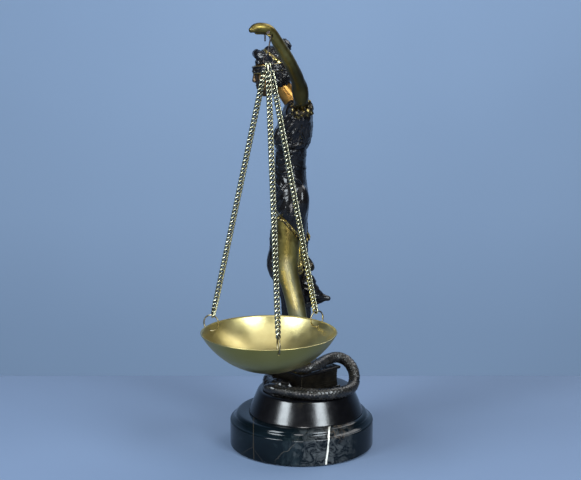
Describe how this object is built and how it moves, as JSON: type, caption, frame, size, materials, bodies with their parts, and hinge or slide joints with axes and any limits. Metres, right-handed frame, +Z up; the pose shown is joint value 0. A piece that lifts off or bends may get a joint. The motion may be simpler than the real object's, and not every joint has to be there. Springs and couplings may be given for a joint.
{
  "type": "hanging pan scale figurine",
  "caption": "Draped blindfolded figure on a round stone base, raised arm holding a shallow metal pan by a hook and three fine chains.",
  "frame": {"origin": "centre of the underside of the round base, on the table", "axes": "+Z up; the figure faces -Y; her left side, with the raised arm and the pan, is +X"},
  "size_m": [0.1624, 0.1153, 0.2927],
  "materials": {
    "felt": "dense dark green felt",
    "black_marble": "polished black marble with white and gold veins",
    "steel": "zinc plated",
    "black_bronze": "turned and lacquered glossy black",
    "dark_bronze": "cast, glossy black-brown patina",
    "worn_bronze": "cast, dark patina rubbed back to gold on the edges",
    "gold_bronze": "cast, olive-gold satin patina",
    "dark_wire": "blackened wire",
    "chain_brass": "pale plated brass",
    "pan_brass": "spun and satin-brushed brass"
  },
  "bodies": {
    "figure": {"felt_pad": "felt", "felt_plug": "felt", "marble_base": "black_marble", "threaded_rod": "steel", "washer": "steel", "hex_nut": "steel", "plinth": "black_bronze", "book_boards": "dark_bronze", "book_pages": "dark_bronze", "rock": "dark_bronze", "snake": "dark_bronze", "bodice": "dark_bronze", "dress": "dark_bronze", "left_leg": "gold_bronze", "right_leg": "gold_bronze", "skirt": "dark_bronze", "left_arm": "gold_bronze", "shoulder_cuff": "worn_bronze", "head": "gold_bronze", "blindfold": "dark_bronze", "hair": "dark_bronze", "right_arm": "gold_bronze", "hip_drape": "worn_bronze", "drape_tail": "dark_bronze", "sword_grip": "dark_bronze", "sword_guard": "gold_bronze", "sword_pommel": "gold_bronze", "sword_blade": "gold_bronze", "hook_pin": "dark_wire"},
    "hook": {"hook": "dark_wire"},
    "top_ring": {"top_ring": "dark_wire"},
    "pan_set": {"pan": "pan_brass", "jump_ring_front": "chain_brass", "chain_front": "chain_brass", "jump_ring_left": "chain_brass", "chain_left": "chain_brass", "jump_ring_right": "chain_brass", "chain_right": "chain_brass"}
  },
  "joints": [
    {"name": "hook_swing", "type": "hinge", "parent": "figure", "child": "hook", "pos_m": [0.067, -0.0215, 0.2869], "axis": [1, 0, 0], "range_deg": [-8, 8]},
    {"name": "ring_twist", "type": "hinge", "parent": "hook", "child": "top_ring", "pos_m": [0.067, -0.0215, 0.26965], "axis": [0, 0, 1], "range_deg": [-30, 30]},
    {"name": "pan_swing", "type": "hinge", "parent": "top_ring", "child": "pan_set", "pos_m": [0.067, -0.0215, 0.26675], "axis": [0, -1, 0], "range_deg": [-1.2, 25]}
  ]
}
